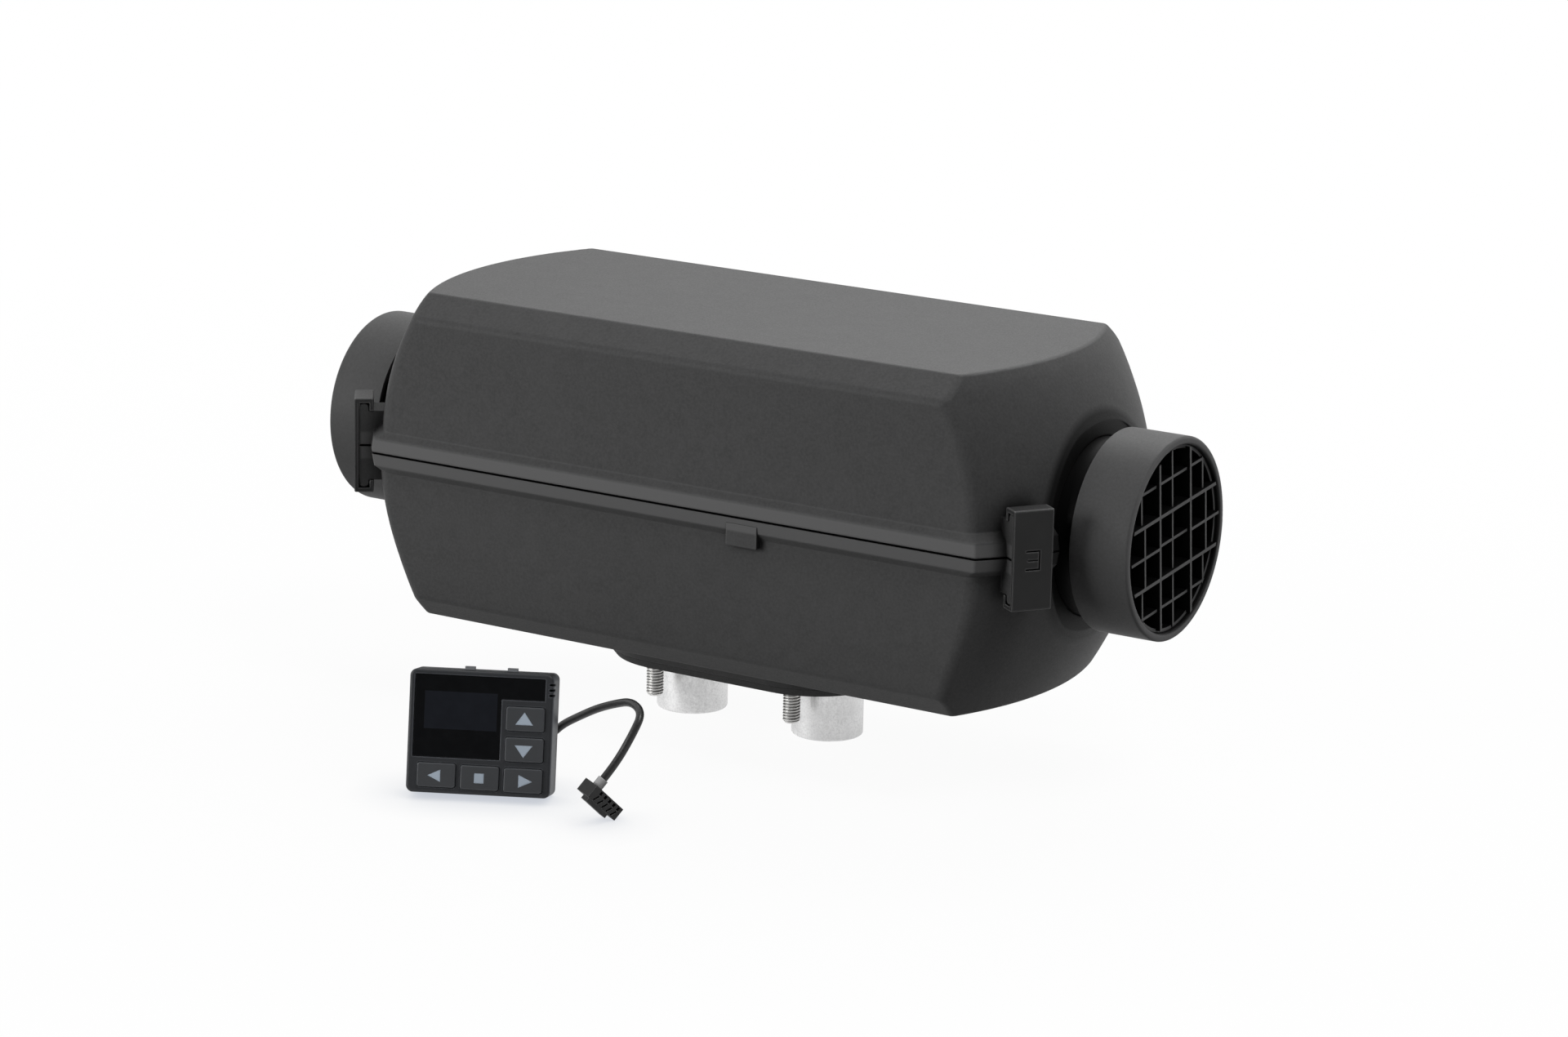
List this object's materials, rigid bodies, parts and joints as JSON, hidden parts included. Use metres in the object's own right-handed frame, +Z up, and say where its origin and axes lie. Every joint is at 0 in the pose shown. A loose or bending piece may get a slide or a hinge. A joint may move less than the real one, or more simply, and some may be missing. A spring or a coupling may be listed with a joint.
{
  "type": "diesel air heater",
  "caption": "Fuel-fired air heater with a split casing, duct collars, an inlet grille, side clips, underside stubs, and a push-button control panel on a short cable.",
  "frame": {"origin": "middle of the mounting face, the underside of the base gasket between the two stubs", "axes": "+X along the air duct toward the inlet end with the grille, +Y away from the side where the control panel stands, +Z up from the mounting face"},
  "size_m": [0.31, 0.201, 0.141],
  "materials": {
    "casing": "fine matte grain",
    "clip": "satin",
    "collar": "satin",
    "grille": "satin",
    "grommet": "matte",
    "gasket": "matte",
    "flange": "cast",
    "stub": "bright cast",
    "steel": "zinc plated",
    "exchanger": "cast",
    "burner": "heat tinted",
    "plug": "nickel",
    "sensor": "satin",
    "fibre_gasket": "fibrous",
    "blower": "cast",
    "motor": "satin",
    "impeller": "satin",
    "fan": "satin",
    "electronics": "matte",
    "panel_shell": "satin",
    "panel_back": "matte",
    "window": "gloss",
    "display": "satin",
    "board": "satin",
    "key": "satin",
    "cable_jacket": "satin",
    "sleeve": "satin",
    "connector": "satin"
  },
  "bodies": {
    "heater": {"upper_casing": "casing", "lower_casing": "casing", "cable_grommet": "grommet", "outlet_collar": "collar", "inlet_collar": "collar", "inlet_grille": "grille", "base_gasket": "gasket", "mounting_flange": "flange", "exhaust_stub": "stub", "combustion_air_stub": "stub", "mounting_studs": "steel", "fuel_inlet_pipe": "steel", "foot_screws": "steel", "heat_exchanger": "exchanger", "combustion_chamber": "burner", "glow_plug": "plug", "flame_sensor": "plug", "overheat_sensor": "sensor", "blower_gasket": "fibre_gasket", "blower_housing": "blower", "blower_screws": "steel", "blower_motor": "motor", "control_unit": "electronics", "controller_bezel": "panel_shell", "controller_back_cover": "panel_back", "display_window": "window", "display_module": "display", "controller_board": "board", "board_screws": "steel", "button_switches": "electronics", "cable_strain_relief": "cable_jacket", "controller_cable": "cable_jacket", "cable_sleeve": "sleeve", "connector_housing": "connector", "connector_latch": "connector"},
    "rotor": {"motor_shaft": "steel", "combustion_impeller": "impeller", "heating_fan": "fan", "fan_nut": "steel"},
    "front_outlet_clip": {"front_outlet_clip": "clip"},
    "rear_outlet_clip": {"rear_outlet_clip": "clip"},
    "front_inlet_clip": {"front_inlet_clip": "clip"},
    "rear_inlet_clip": {"rear_inlet_clip": "clip"},
    "up_button": {"up_button": "key"},
    "down_button": {"down_button": "key"},
    "left_button": {"left_button": "key"},
    "right_button": {"right_button": "key"},
    "stop_button": {"stop_button": "key"}
  },
  "joints": [
    {"name": "rotor_spin", "type": "hinge", "parent": "heater", "child": "rotor", "pos_m": [0.07, 0, 0.0664], "axis": [1, 0, 0], "continuous": true},
    {"name": "front_outlet_clip_slide", "type": "slide", "parent": "heater", "child": "front_outlet_clip", "axis": [0.5878, -0.809, 0], "range_m": [0, 0.016]},
    {"name": "rear_outlet_clip_slide", "type": "slide", "parent": "heater", "child": "rear_outlet_clip", "axis": [0.5878, 0.809, 0], "range_m": [0, 0.016]},
    {"name": "front_inlet_clip_slide", "type": "slide", "parent": "heater", "child": "front_inlet_clip", "axis": [-0.5878, -0.809, 0], "range_m": [0, 0.016]},
    {"name": "rear_inlet_clip_slide", "type": "slide", "parent": "heater", "child": "rear_inlet_clip", "axis": [-0.5878, 0.809, 0], "range_m": [0, 0.016]},
    {"name": "up_button_press", "type": "slide", "parent": "heater", "child": "up_button", "axis": [-0.429, 0.8757, -0.2215], "range_m": [0, 0.0005], "stiffness_N_per_m": 600, "springref_m": -0.0005},
    {"name": "down_button_press", "type": "slide", "parent": "heater", "child": "down_button", "axis": [-0.429, 0.8757, -0.2215], "range_m": [0, 0.0005], "stiffness_N_per_m": 600, "springref_m": -0.0005},
    {"name": "left_button_press", "type": "slide", "parent": "heater", "child": "left_button", "axis": [-0.429, 0.8757, -0.2215], "range_m": [0, 0.0005], "stiffness_N_per_m": 600, "springref_m": -0.0005},
    {"name": "right_button_press", "type": "slide", "parent": "heater", "child": "right_button", "axis": [-0.429, 0.8757, -0.2215], "range_m": [0, 0.0005], "stiffness_N_per_m": 600, "springref_m": -0.0005},
    {"name": "stop_button_press", "type": "slide", "parent": "heater", "child": "stop_button", "axis": [-0.429, 0.8757, -0.2215], "range_m": [0, 0.0005], "stiffness_N_per_m": 600, "springref_m": -0.0005}
  ]
}
